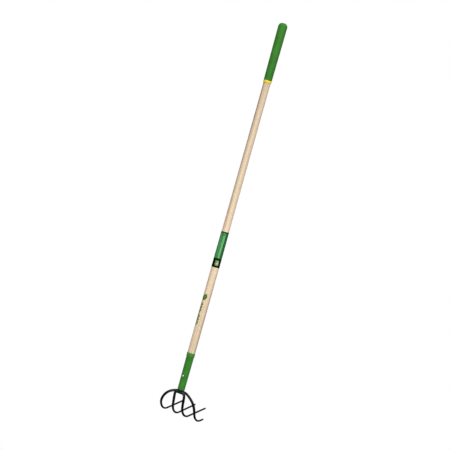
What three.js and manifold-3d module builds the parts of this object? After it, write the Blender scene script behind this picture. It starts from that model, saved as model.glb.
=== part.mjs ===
// Long-handled garden cultivator with four hooked tines, a riveted ferrule, a wooden handle and a soft grip.
// All sizes are in millimetres.
// +Z runs up the handle, X runs across the tines, and the tines hook forward along +Y.
// The origin is the middle of the grip, where the hand holds the tool.
import * as THREE from "three";
import { mergeVertices } from "three/addons/utils/BufferGeometryUtils.js";
import Module from "manifold-3d";

const wasm = await Module();
wasm.setup();

// ---- Clearances and mesh detail ----
const GAP = 0.3; // between pieces that touch
const ROUND_SEGMENTS = 64;
const ROD_SEGMENTS = 16;
const FINE_SEGMENTS = 24;
const WELD_SEGMENTS = 12;

// ---- Grip and its ring ----
const GRIP_LENGTH = 220;
const GRIP_TOP = GRIP_LENGTH / 2;
const GRIP_BOTTOM = -GRIP_LENGTH / 2;
const GRIP_END_WALL = 5;
const GRIP_TOP_RADIUS = 17.4;
const GRIP_BOTTOM_RADIUS = 15.5;
const GRIP_DOME_HEIGHT = 15;
const GRIP_FLAT_RADIUS = 5.5;
const GRIP_LIP = 0.8;
const RING_HEIGHT = 9;
const RING_RADIUS = 15.6;
const RING_EDGE = 1.2;

// ---- Handle, from the top down ----
const HANDLE_LENGTH = 1371.6; // a 54 inch pole
const HANDLE_TOP = GRIP_TOP - GRIP_END_WALL - GAP;
const HANDLE_BOTTOM = HANDLE_TOP - HANDLE_LENGTH;
const HANDLE_TOP_RADIUS = 13.3;
const HANDLE_UPPER_RADIUS = 13.5;
const HANDLE_UPPER_END = -440; // the pole thickens below this height
const HANDLE_LABEL_TOP_RADIUS = 14.0;
const HANDLE_LABEL_BOTTOM_RADIUS = 14.6;
const HANDLE_LOWER_RADIUS = 14.8;
const HANDLE_LOWER_END = -1005; // the pole narrows a little below this height
const HANDLE_MOUTH_RADIUS = 14.7;
const HANDLE_EDGE = 1.5;

// ---- Label wrapped round the handle ----
const LABEL_TOP = -691;
const LABEL_LENGTH = 136;
const LABEL_BOTTOM = LABEL_TOP - LABEL_LENGTH;
const LABEL_THICKNESS = 0.6;

// ---- Tine head, measured from the crown where the bows cross the tang ----
const CROWN_Z = -1305;
const OUTER_HALF_WIDTH = 77.6;
const OUTER_ARCH_HEIGHT = 67.5;
const OUTER_ARCH_LEAN = THREE.MathUtils.degToRad(8.5); // the arch leans back toward its crown
const OUTER_CROWN_RISE = 2.6;
const ARCH_CENTRE_Z = OUTER_CROWN_RISE - OUTER_ARCH_HEIGHT;
const OUTER_CROWN_STEP = 7.3; // how far the crown stands forward of the leaning arch
const OUTER_STEP_WIDTH = 38; // half the width over which the arch comes forward
const INNER_SHOULDER_X = 21.7;
const INNER_TIP_X = 24;
const INNER_CROWN_DROP = 2.6;
const INNER_CROWN_Y = -4;
const INNER_ELBOW_RADIUS = 8.6;
const INNER_ELBOW_FORWARD = 3.4; // how far the rod comes forward round its elbow

// Each rod keeps its root radius up to the taper, then is drawn down to the prong radius.
// Taper distances are measured along the rod from the crown.
const OUTER_ROD = { rootRadius: 4.7, taperStart: 88, taperEnd: 168 };
const INNER_ROD = { rootRadius: 4.9, taperStart: 35, taperEnd: 154 };
const PRONG_RADIUS = 3.2;
const POINT_LENGTH = 9;
const PRONG_STEP = 18; // spacing of the points that guide a prong
const OUTER_BOW_STEPS = 150;
const INNER_BOW_STEPS = 160;

// Side view of a tine, in the plane of Y and Z
const BEND_START_Y = 6.3;
const BEND_START_DROP = 46.7;
const BEND_LEAN = THREE.MathUtils.degToRad(6.4);
const BEND_RADIUS = 45;
const PRONG_RISE = THREE.MathUtils.degToRad(17);
const PRONG_LENGTH = 110;
const SHORT_PRONG_LENGTH = 20; // the outer tine on the +X side stops soon after its bend

// ---- Tang and welds ----
const TANG_RADIUS = 4.7;
const TANG_NECK_RADIUS = 5.6;
const TANG_FOOT_DROP = 1; // how far the tang reaches down between the bows
const TANG_NECK_TOP = 24;
const TANG_NECK_SLOPE = 3;
const TANG_TOP = 124;
const TANG_POINT_RADIUS = 2;
const TANG_POINT_LENGTH = 12;
const BORE_DEPTH_PAST_TANG = 4;
const BORE_OVERRUN = 1; // how far the bore's cutting shape starts outside the wood
const WELD_RADIUS = 2;
const WELD_HALF_LENGTH = 15;

// ---- Ferrule and rivet ----
const FERRULE_BOTTOM = CROWN_Z + 7.8;
const FERRULE_LENGTH = 141.5;
const FERRULE_TOP = FERRULE_BOTTOM + FERRULE_LENGTH;
const FERRULE_RIM_HEIGHT = 13;
const FERRULE_RIM_RADIUS = 15.7;
const FERRULE_NECK_RADIUS = 14.1;
const FERRULE_BOTTOM_RADIUS = 13.3;
const FERRULE_WALL = 1;
const FERRULE_EDGE = 0.5;
const RIM_STEP = 2.2; // height of the slope from the rim down to the body
const MOUTH_STEP = 9; // height over which the wood narrows inside the mouth
const RIVET_Z = CROWN_Z + 61;
const RIVET_SHANK_RADIUS = 2.4;
const RIVET_HEAD_RADIUS = 4.6;
const RIVET_HEAD_HEIGHT = 2.2;
const RIVET_HEAD_EDGE = 0.4;

// ---- Finishes ----
const FINISHES = {
  wood: { color: 0xe6cda8, roughness: 0.55, metalness: 0 },
  grip: { color: 0x3c7d30, roughness: 0.6, metalness: 0 },
  ring: { color: 0xe6c832, roughness: 0.5, metalness: 0 },
  label: { color: 0x4a9a5c, roughness: 0.4, metalness: 0 },
  greenPaint: { color: 0x377d2a, roughness: 0.35, metalness: 0.1 },
  blackPaint: { color: 0x0b0b0c, roughness: 0.3, metalness: 0.2 },
  brightSteel: { color: 0xc8ccc8, roughness: 0.3, metalness: 0.9 },
};

// ---- Solids ----

function toManifold(geometry) {
  const bare = geometry.clone();
  bare.deleteAttribute("normal");
  bare.deleteAttribute("uv");
  const merged = mergeVertices(bare, 1e-4);
  return new wasm.Manifold(
    new wasm.Mesh({
      numProp: 3,
      vertProperties: new Float32Array(merged.attributes.position.array),
      triVerts: new Uint32Array(merged.index.array),
    }),
  );
}

function toGeometry(solid) {
  const mesh = solid.getMesh();
  const geometry = new THREE.BufferGeometry();
  geometry.setAttribute("position", new THREE.BufferAttribute(mesh.vertProperties, 3));
  geometry.setIndex(new THREE.BufferAttribute(mesh.triVerts, 1));
  geometry.computeVertexNormals();
  return geometry;
}

// Turns a profile of [radius, height] pairs round the Z axis.
function turned(profile, segments = ROUND_SEGMENTS) {
  const points = profile.map(([radius, height]) => new THREE.Vector2(radius, height));
  return new THREE.LatheGeometry(points, segments).rotateX(Math.PI / 2);
}

function cut(geometry, ...tools) {
  let solid = toManifold(geometry);
  for (const tool of tools) {
    solid = solid.subtract(toManifold(tool));
  }
  return toGeometry(solid);
}

// A round rod bent along a curve.
// The profile holds the radius at evenly spaced places along the curve.
function sweptRod(curve, profile, segments = ROD_SEGMENTS) {
  const steps = profile.length - 1;
  const frames = curve.computeFrenetFrames(steps, false);
  const straight = new THREE.LatheGeometry(
    profile.map((radius, step) => new THREE.Vector2(radius, step)),
    segments,
  );
  const position = straight.attributes.position;
  const vertex = new THREE.Vector3();
  for (let i = 0; i < position.count; i += 1) {
    const step = Math.round(position.getY(i));
    vertex.copy(curve.getPointAt(step / steps));
    vertex.addScaledVector(frames.binormals[step], position.getX(i));
    vertex.addScaledVector(frames.normals[step], position.getZ(i));
    position.setXYZ(i, vertex.x, vertex.y, vertex.z);
  }
  straight.computeVertexNormals();
  return straight;
}

function smoothCurve(points) {
  return new THREE.CatmullRomCurve3(points, false, "centripetal");
}

// ---- Handle ----

function tenonRadiusAt(z) {
  const down = (FERRULE_TOP - z) / FERRULE_LENGTH;
  return THREE.MathUtils.lerp(FERRULE_NECK_RADIUS, FERRULE_BOTTOM_RADIUS, down) - FERRULE_WALL - GAP;
}

function handleGeometry() {
  const tenonTop = FERRULE_TOP - FERRULE_RIM_HEIGHT - MOUTH_STEP;
  const pole = turned([
    [0, HANDLE_BOTTOM],
    [tenonRadiusAt(HANDLE_BOTTOM) - HANDLE_EDGE, HANDLE_BOTTOM],
    [tenonRadiusAt(HANDLE_BOTTOM), HANDLE_BOTTOM + HANDLE_EDGE],
    [tenonRadiusAt(tenonTop), tenonTop],
    [HANDLE_MOUTH_RADIUS, FERRULE_TOP - FERRULE_RIM_HEIGHT],
    [HANDLE_MOUTH_RADIUS, FERRULE_TOP],
    [HANDLE_LOWER_RADIUS, HANDLE_LOWER_END],
    [HANDLE_LABEL_BOTTOM_RADIUS, LABEL_BOTTOM],
    [HANDLE_LABEL_TOP_RADIUS, LABEL_TOP],
    [HANDLE_UPPER_RADIUS, HANDLE_UPPER_END],
    [HANDLE_UPPER_RADIUS, GRIP_BOTTOM],
    [HANDLE_TOP_RADIUS, GRIP_BOTTOM + HANDLE_EDGE],
    [HANDLE_TOP_RADIUS, HANDLE_TOP - HANDLE_EDGE],
    [HANDLE_TOP_RADIUS - HANDLE_EDGE, HANDLE_TOP],
    [0, HANDLE_TOP],
  ]);
  const boreTop = CROWN_Z + TANG_TOP + BORE_DEPTH_PAST_TANG;
  const bore = turned(
    [
      [0, HANDLE_BOTTOM - BORE_OVERRUN],
      [TANG_RADIUS + GAP, HANDLE_BOTTOM - BORE_OVERRUN],
      [TANG_RADIUS + GAP, boreTop - TANG_POINT_LENGTH],
      [TANG_POINT_RADIUS + GAP, boreTop],
      [0, boreTop],
    ],
    FINE_SEGMENTS,
  );
  return cut(pole, bore, crossHole());
}

// ---- Grip and ring ----

function gripGeometry() {
  const innerRadius = HANDLE_TOP_RADIUS + GAP;
  const innerTop = GRIP_TOP - GRIP_END_WALL;
  const domeBase = GRIP_TOP - GRIP_DOME_HEIGHT;
  const reach = GRIP_TOP_RADIUS - GRIP_FLAT_RADIUS;
  const dome = [];
  const domeSteps = 10;
  for (let step = 0; step <= domeSteps; step += 1) {
    const angle = (step / domeSteps) * (Math.PI / 2);
    const radius = GRIP_FLAT_RADIUS + reach * Math.cos(angle);
    dome.push([radius, domeBase + GRIP_DOME_HEIGHT * Math.sin(angle)]);
  }
  return turned([
    [0, innerTop],
    [innerRadius, innerTop],
    [innerRadius, GRIP_BOTTOM + HANDLE_EDGE],
    [HANDLE_UPPER_RADIUS + GAP, GRIP_BOTTOM],
    [GRIP_BOTTOM_RADIUS - GRIP_LIP, GRIP_BOTTOM],
    [GRIP_BOTTOM_RADIUS, GRIP_BOTTOM + GRIP_LIP],
    ...dome,
    [0, GRIP_TOP],
  ]);
}

function ringGeometry() {
  const top = GRIP_BOTTOM - GAP;
  const bottom = top - RING_HEIGHT;
  const inner = HANDLE_UPPER_RADIUS + GAP;
  return turned([
    [inner, bottom],
    [RING_RADIUS - RING_EDGE, bottom],
    [RING_RADIUS, bottom + RING_EDGE],
    [RING_RADIUS, top - RING_EDGE / 2],
    [RING_RADIUS - RING_EDGE / 2, top],
    [inner, top],
    [inner, bottom],
  ]);
}

// ---- Label ----

function labelGeometry() {
  const innerTop = HANDLE_LABEL_TOP_RADIUS + GAP;
  const innerBottom = HANDLE_LABEL_BOTTOM_RADIUS + GAP;
  return turned([
    [innerBottom, LABEL_BOTTOM],
    [innerBottom + LABEL_THICKNESS, LABEL_BOTTOM],
    [innerTop + LABEL_THICKNESS, LABEL_TOP],
    [innerTop, LABEL_TOP],
    [innerBottom, LABEL_BOTTOM],
  ]);
}

// ---- Ferrule and rivet ----

function ferruleGeometry() {
  const rimBottom = FERRULE_TOP - FERRULE_RIM_HEIGHT;
  const stepBottom = rimBottom - RIM_STEP;
  const mouthBottom = rimBottom - MOUTH_STEP;
  const mouthRadius = HANDLE_MOUTH_RADIUS + GAP;
  const floorTop = FERRULE_BOTTOM + FERRULE_WALL;
  const holeRadius = TANG_NECK_RADIUS + GAP;
  const shell = turned([
    [holeRadius, FERRULE_BOTTOM],
    [FERRULE_BOTTOM_RADIUS - FERRULE_EDGE, FERRULE_BOTTOM],
    [FERRULE_BOTTOM_RADIUS, FERRULE_BOTTOM + FERRULE_EDGE],
    [FERRULE_NECK_RADIUS, stepBottom],
    [FERRULE_RIM_RADIUS, rimBottom],
    [FERRULE_RIM_RADIUS, FERRULE_TOP - FERRULE_EDGE],
    [FERRULE_RIM_RADIUS - FERRULE_EDGE, FERRULE_TOP],
    [mouthRadius, FERRULE_TOP],
    [mouthRadius, rimBottom],
    [tenonRadiusAt(mouthBottom) + GAP, mouthBottom],
    [tenonRadiusAt(floorTop) + GAP, floorTop],
    [holeRadius, floorTop],
    [holeRadius, FERRULE_BOTTOM],
  ]);
  return cut(shell, crossHole());
}

function crossHole() {
  const radius = RIVET_SHANK_RADIUS + GAP;
  const length = 4 * FERRULE_RIM_RADIUS;
  return new THREE.CylinderGeometry(radius, radius, length, FINE_SEGMENTS).translate(0, 0, RIVET_Z);
}

// The rivet lies along Y, with a domed head on each side of the ferrule.
function rivetGeometry() {
  const up = (RIVET_Z - FERRULE_BOTTOM) / FERRULE_LENGTH;
  const seat = THREE.MathUtils.lerp(FERRULE_BOTTOM_RADIUS, FERRULE_NECK_RADIUS, up) + GAP;
  const half = [
    [RIVET_SHANK_RADIUS, seat],
    [RIVET_HEAD_RADIUS, seat],
  ];
  const headSteps = 6;
  for (let step = 0; step < headSteps; step += 1) {
    const angle = (step / headSteps) * (Math.PI / 2);
    const along = seat + RIVET_HEAD_EDGE + RIVET_HEAD_HEIGHT * Math.sin(angle);
    half.push([RIVET_HEAD_RADIUS * Math.cos(angle), along]);
  }
  half.push([0, seat + RIVET_HEAD_EDGE + RIVET_HEAD_HEIGHT]);
  const otherHalf = half.map(([radius, along]) => [radius, -along]).reverse();
  const points = [...otherHalf, ...half].map(([radius, along]) => new THREE.Vector2(radius, along));
  return new THREE.LatheGeometry(points, FINE_SEGMENTS).translate(0, 0, RIVET_Z);
}

// ---- Tine bows ----

// The bend and the prong, from the end of the leg to the tip, as [y, z] pairs measured from the crown.
function hookProfile(prongLength) {
  const centreY = BEND_START_Y + BEND_RADIUS * Math.cos(BEND_LEAN);
  const centreZ = -BEND_START_DROP + BEND_RADIUS * Math.sin(BEND_LEAN);
  const bendSteps = 14;
  const profile = [];
  for (let step = 0; step <= bendSteps; step += 1) {
    const heading = THREE.MathUtils.lerp(BEND_LEAN, Math.PI / 2 + PRONG_RISE, step / bendSteps);
    const y = centreY - BEND_RADIUS * Math.cos(heading);
    profile.push([y, centreZ - BEND_RADIUS * Math.sin(heading)]);
  }
  const [bendEndY, bendEndZ] = profile[profile.length - 1];
  const prongSteps = Math.ceil(prongLength / PRONG_STEP);
  for (let step = 1; step <= prongSteps; step += 1) {
    const along = (prongLength * step) / prongSteps;
    const y = bendEndY + along * Math.cos(PRONG_RISE);
    profile.push([y, bendEndZ + along * Math.sin(PRONG_RISE)]);
  }
  return profile;
}

// How far forward the arch lies at x and z: it leans back as it rises, then steps forward at the crown.
function archForward(x, z) {
  const leaning = BEND_START_Y - Math.tan(OUTER_ARCH_LEAN) * (z + BEND_START_DROP);
  return leaning + OUTER_CROWN_STEP * Math.exp(-((x / OUTER_STEP_WIDTH) ** 4));
}

// One side of the outer bow, from the crown to a tip. side is +1 or -1 along X.
function outerHalf(side, prongLength) {
  const halfWidthAt = (z) => {
    const up = Math.max(0, (z - ARCH_CENTRE_Z) / OUTER_ARCH_HEIGHT);
    return OUTER_HALF_WIDTH * Math.sqrt(Math.max(0, 1 - up * up));
  };
  const archEnd = Math.acos((-BEND_START_DROP - ARCH_CENTRE_Z) / OUTER_ARCH_HEIGHT);
  const archSteps = 11;
  const points = [];
  for (let step = 0; step < archSteps; step += 1) {
    const angle = (archEnd * step) / archSteps;
    const x = OUTER_HALF_WIDTH * Math.sin(angle);
    const z = ARCH_CENTRE_Z + OUTER_ARCH_HEIGHT * Math.cos(angle);
    points.push(new THREE.Vector3(side * x, archForward(x, z), z));
  }
  for (const [y, z] of hookProfile(prongLength)) {
    const x = y > BEND_START_Y + BEND_RADIUS ? OUTER_HALF_WIDTH : halfWidthAt(z);
    points.push(new THREE.Vector3(side * x, y, z));
  }
  return points;
}

// One side of the inner bow: a straight bar, an elbow, a leg, then the hook.
function innerHalf(side, prongLength) {
  const elbowX = INNER_SHOULDER_X - INNER_ELBOW_RADIUS;
  const elbowZ = -INNER_CROWN_DROP - INNER_ELBOW_RADIUS;
  const points = [new THREE.Vector3(0, INNER_CROWN_Y, -INNER_CROWN_DROP)];
  const elbowSteps = 5;
  for (let step = 0; step <= elbowSteps; step += 1) {
    const angle = (step / elbowSteps) * (Math.PI / 2);
    const x = elbowX + INNER_ELBOW_RADIUS * Math.sin(angle);
    const z = elbowZ + INNER_ELBOW_RADIUS * Math.cos(angle);
    const y = INNER_CROWN_Y + (step / elbowSteps) * INNER_ELBOW_FORWARD;
    points.push(new THREE.Vector3(side * x, y, z));
  }
  const hook = hookProfile(prongLength);
  const tipY = hook[hook.length - 1][0];
  for (const [y, z] of hook) {
    const spread = THREE.MathUtils.mapLinear(y, BEND_START_Y, tipY, INNER_SHOULDER_X, INNER_TIP_X);
    points.push(new THREE.Vector3(side * spread, y, z));
  }
  return points;
}

// Joins two halves that share their first point into one path from tip to tip.
function bowCurve(leftHalf, rightHalf) {
  return smoothCurve([...leftHalf.slice(1).reverse(), ...rightHalf]);
}

// The rod's radius at a distance from the crown: thick at the root, drawn thinner to the prong.
function drawnRadius(fromCrown, { rootRadius, taperStart, taperEnd }) {
  const drawn = THREE.MathUtils.smoothstep(fromCrown, taperStart, taperEnd);
  return THREE.MathUtils.lerp(rootRadius, PRONG_RADIUS, drawn);
}

// Narrows the rod to a rounded point within POINT_LENGTH of its end.
function pointFactor(fromEnd) {
  const inside = Math.min(1, fromEnd / POINT_LENGTH);
  return Math.sqrt(1 - (1 - inside) ** 2);
}

function bowProfile(curve, crownFraction, rod, steps) {
  const length = curve.getLength();
  const profile = [];
  for (let step = 0; step <= steps; step += 1) {
    const fromCrown = length * Math.abs(step / steps - crownFraction);
    const fromEnd = (length * Math.min(step, steps - step)) / steps;
    profile.push(drawnRadius(fromCrown, rod) * pointFactor(fromEnd));
  }
  return profile;
}

function curveLength(points) {
  return smoothCurve(points).getLength();
}

function outerBow() {
  const left = outerHalf(-1, PRONG_LENGTH);
  const right = outerHalf(1, SHORT_PRONG_LENGTH);
  const curve = bowCurve(left, right);
  const crownFraction = curveLength(left) / (curveLength(left) + curveLength(right));
  const profile = bowProfile(curve, crownFraction, OUTER_ROD, OUTER_BOW_STEPS);
  return { curve, profile };
}

function innerBow() {
  const curve = bowCurve(innerHalf(-1, PRONG_LENGTH), innerHalf(1, PRONG_LENGTH));
  const profile = bowProfile(curve, 0.5, INNER_ROD, INNER_BOW_STEPS);
  return { curve, profile };
}

// extra thickens the rod, for a bow used as a cutting tool.
function bowGeometry({ curve, profile }, extra = 0) {
  const radii = profile.map((radius) => (radius > 0 ? radius + extra : 0));
  return sweptRod(curve, radii).translate(0, 0, CROWN_Z);
}

// ---- Tang and welds ----

// The centre of a bead in the groove between the two bows at x.
// up is +1 for the upper groove and -1 for the lower.
function grooveCentre(x, up) {
  const outerZ = ARCH_CENTRE_Z + OUTER_ARCH_HEIGHT * Math.sqrt(1 - (x / OUTER_HALF_WIDTH) ** 2);
  const outerReach = OUTER_ROD.rootRadius + GAP + WELD_RADIUS;
  const innerReach = INNER_ROD.rootRadius + GAP + WELD_RADIUS;
  const dy = archForward(x, outerZ) - INNER_CROWN_Y;
  const dz = outerZ + INNER_CROWN_DROP;
  const apart = Math.hypot(dy, dz);
  const along = (innerReach ** 2 - outerReach ** 2 + apart ** 2) / (2 * apart);
  const across = Math.sqrt(innerReach ** 2 - along ** 2) * up;
  const y = INNER_CROWN_Y + (along * dy - across * dz) / apart;
  const z = -INNER_CROWN_DROP + (along * dz + across * dy) / apart;
  return new THREE.Vector3(x, y, z);
}

function weldGeometry(fromX, toX, up) {
  const pathSteps = 6;
  const points = [];
  for (let step = 0; step <= pathSteps; step += 1) {
    points.push(grooveCentre(THREE.MathUtils.lerp(fromX, toX, step / pathSteps), up));
  }
  const beadSteps = 20;
  const endSteps = 3; // steps over which the bead rounds off at each end
  const profile = [];
  for (let step = 0; step <= beadSteps; step += 1) {
    const inside = Math.min(1, Math.min(step, beadSteps - step) / endSteps);
    profile.push(WELD_RADIUS * Math.sqrt(1 - (1 - inside) ** 2));
  }
  return sweptRod(smoothCurve(points), profile, WELD_SEGMENTS).translate(0, 0, CROWN_Z);
}

function tangGeometry(outer, inner) {
  const shank = turned(
    [
      [0, CROWN_Z - TANG_FOOT_DROP],
      [TANG_NECK_RADIUS, CROWN_Z - TANG_FOOT_DROP],
      [TANG_NECK_RADIUS, CROWN_Z + TANG_NECK_TOP],
      [TANG_RADIUS, CROWN_Z + TANG_NECK_TOP + TANG_NECK_SLOPE],
      [TANG_RADIUS, CROWN_Z + TANG_TOP - TANG_POINT_LENGTH],
      [TANG_POINT_RADIUS, CROWN_Z + TANG_TOP],
      [0, CROWN_Z + TANG_TOP],
    ],
    FINE_SEGMENTS,
  );
  return cut(shank, bowGeometry(outer, GAP), bowGeometry(inner, GAP), crossHole());
}

// ---- Assembly ----

function addPiece(group, name, geometry, finish) {
  const mesh = new THREE.Mesh(geometry, new THREE.MeshStandardMaterial(FINISHES[finish]));
  mesh.name = name;
  group.add(mesh);
}

const outer = outerBow();
const inner = innerBow();
const weldStart = TANG_NECK_RADIUS + GAP;

const group = new THREE.Group();
group.name = "hand_cultivator";
addPiece(group, "handle", handleGeometry(), "wood");
addPiece(group, "grip", gripGeometry(), "grip");
addPiece(group, "grip_ring", ringGeometry(), "ring");
addPiece(group, "label_sleeve", labelGeometry(), "label");
addPiece(group, "ferrule", ferruleGeometry(), "greenPaint");
addPiece(group, "ferrule_rivet", rivetGeometry(), "brightSteel");
addPiece(group, "tang", tangGeometry(outer, inner), "blackPaint");
addPiece(group, "outer_tine_bow", bowGeometry(outer), "blackPaint");
addPiece(group, "inner_tine_bow", bowGeometry(inner), "blackPaint");
addPiece(group, "upper_weld_left", weldGeometry(-WELD_HALF_LENGTH, -weldStart, 1), "blackPaint");
addPiece(group, "upper_weld_right", weldGeometry(weldStart, WELD_HALF_LENGTH, 1), "blackPaint");
addPiece(group, "lower_weld", weldGeometry(-WELD_HALF_LENGTH, WELD_HALF_LENGTH, -1), "blackPaint");

export default group;
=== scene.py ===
import math

import bmesh
import bpy
from mathutils import Matrix, Vector, noise


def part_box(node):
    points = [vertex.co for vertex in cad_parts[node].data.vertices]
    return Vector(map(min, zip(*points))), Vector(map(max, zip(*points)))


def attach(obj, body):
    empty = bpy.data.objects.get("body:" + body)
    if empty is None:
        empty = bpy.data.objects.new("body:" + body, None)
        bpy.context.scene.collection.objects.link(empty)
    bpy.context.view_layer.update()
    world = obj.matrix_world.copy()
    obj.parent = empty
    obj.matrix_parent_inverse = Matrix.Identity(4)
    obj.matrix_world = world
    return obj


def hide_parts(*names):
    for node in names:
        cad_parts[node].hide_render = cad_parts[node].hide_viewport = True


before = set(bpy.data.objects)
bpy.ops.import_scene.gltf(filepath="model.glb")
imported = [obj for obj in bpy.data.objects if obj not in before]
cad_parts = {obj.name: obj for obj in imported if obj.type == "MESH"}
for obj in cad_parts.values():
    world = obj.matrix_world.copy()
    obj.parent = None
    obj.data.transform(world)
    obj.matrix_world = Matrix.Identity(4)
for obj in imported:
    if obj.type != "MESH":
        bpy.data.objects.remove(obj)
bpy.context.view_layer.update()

MM = 0.001

# ---- Places and sizes taken from the frame ----
GRIP_LOW, GRIP_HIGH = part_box("grip")
RING_LOW, RING_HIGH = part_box("grip_ring")
HANDLE_LOW, HANDLE_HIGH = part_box("handle")
LABEL_LOW, LABEL_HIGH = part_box("label_sleeve")
FERRULE_LOW, FERRULE_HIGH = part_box("ferrule")
RIVET_LOW, RIVET_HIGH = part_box("ferrule_rivet")
TANG_TOP_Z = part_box("tang")[1].z
BOW_LOW, BOW_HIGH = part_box("outer_tine_bow")

# ---- View ----
VIEW_AZIMUTH = math.radians(32)
VIEW_DISTANCE = 4.42
VIEW_ROLL = math.radians(15.67)
VIEW_LENS_MM = 95.6
VIEW_TARGET_Z = -0.6666
VIEW_TARGET_SHIFT = -7.8 * MM

# ---- Room between a sleeve and what it fits on ----
FIT = 0.1 * MM

# ---- Handle radii ----
POLE_TOP_RADIUS = 13.3 * MM
POLE_UPPER_RADIUS = 13.5 * MM
POLE_UPPER_END = -440 * MM
POLE_LABEL_TOP_RADIUS = 14.0 * MM
POLE_LABEL_BOTTOM_RADIUS = 14.6 * MM
POLE_LOWER_RADIUS = 14.8 * MM
POLE_LOWER_END = -1005 * MM
POLE_MOUTH_RADIUS = 14.7 * MM
TENON_RADIUS = 12.0 * MM

# ---- Ferrule, a little wider than the CAD one, since its edges fade into the white background ----
RIM_HEIGHT = 13 * MM
RIM_STEP = 2.2 * MM
NECK_RADIUS = 14.4 * MM
FERRULE_FOOT_RADIUS = 13.6 * MM
FERRULE_WALL = 1 * MM
LIP_HEIGHT = 1.6 * MM
MOUTH_STEP = 9 * MM

# ---- Label ----
BAND_HEIGHT = 33.7 * MM
BORDER_HEIGHT = 4.2 * MM
FILM_THICKNESS = 0.3 * MM
PRINT_LIFT = 0.09 * MM

# ---- Tine head, measured from the crown. Its rods are a little thicker than the CAD ones, since
# thin dark rods look thinner in front of the white background ----
CROWN_Z = -1305 * MM
OUTER_HALF_WIDTH = 77.6 * MM
OUTER_ARCH_HEIGHT = 67.5 * MM
OUTER_ARCH_LEAN = math.radians(8.5)
OUTER_CROWN_RISE = 2.6 * MM
ARCH_CENTRE_Z = OUTER_CROWN_RISE - OUTER_ARCH_HEIGHT
OUTER_CROWN_STEP = 7.3 * MM
OUTER_STEP_WIDTH = 38 * MM
INNER_SHOULDER_X = 21.7 * MM
INNER_TIP_X = 24 * MM
INNER_CROWN_DROP = 2.6 * MM
INNER_CROWN_Y = -4 * MM
INNER_ELBOW_RADIUS = 8.6 * MM
INNER_ELBOW_FORWARD = 3.4 * MM
# Root radius, then where the taper starts and ends along the rod
OUTER_ROD = (4.8 * MM, 88 * MM, 168 * MM)
INNER_ROD = (5.0 * MM, 35 * MM, 154 * MM)
PRONG_RADIUS = 3.35 * MM
POINT_LENGTH = 9 * MM
BEND_START_Y = 6.3 * MM
BEND_START_DROP = 46.7 * MM
BEND_LEAN = math.radians(6.4)
BEND_RADIUS = 45 * MM
PRONG_RISE = math.radians(17)
PRONG_LENGTH = 110 * MM
SHORT_PRONG_LENGTH = 20 * MM
TANG_NECK_RADIUS = 5.6 * MM
WELD_RADIUS = 2.1 * MM
WELD_HALF_LENGTH = 15 * MM
WELD_RIPPLE = 1.5 * MM


# ---- Shader nodes ----

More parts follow.
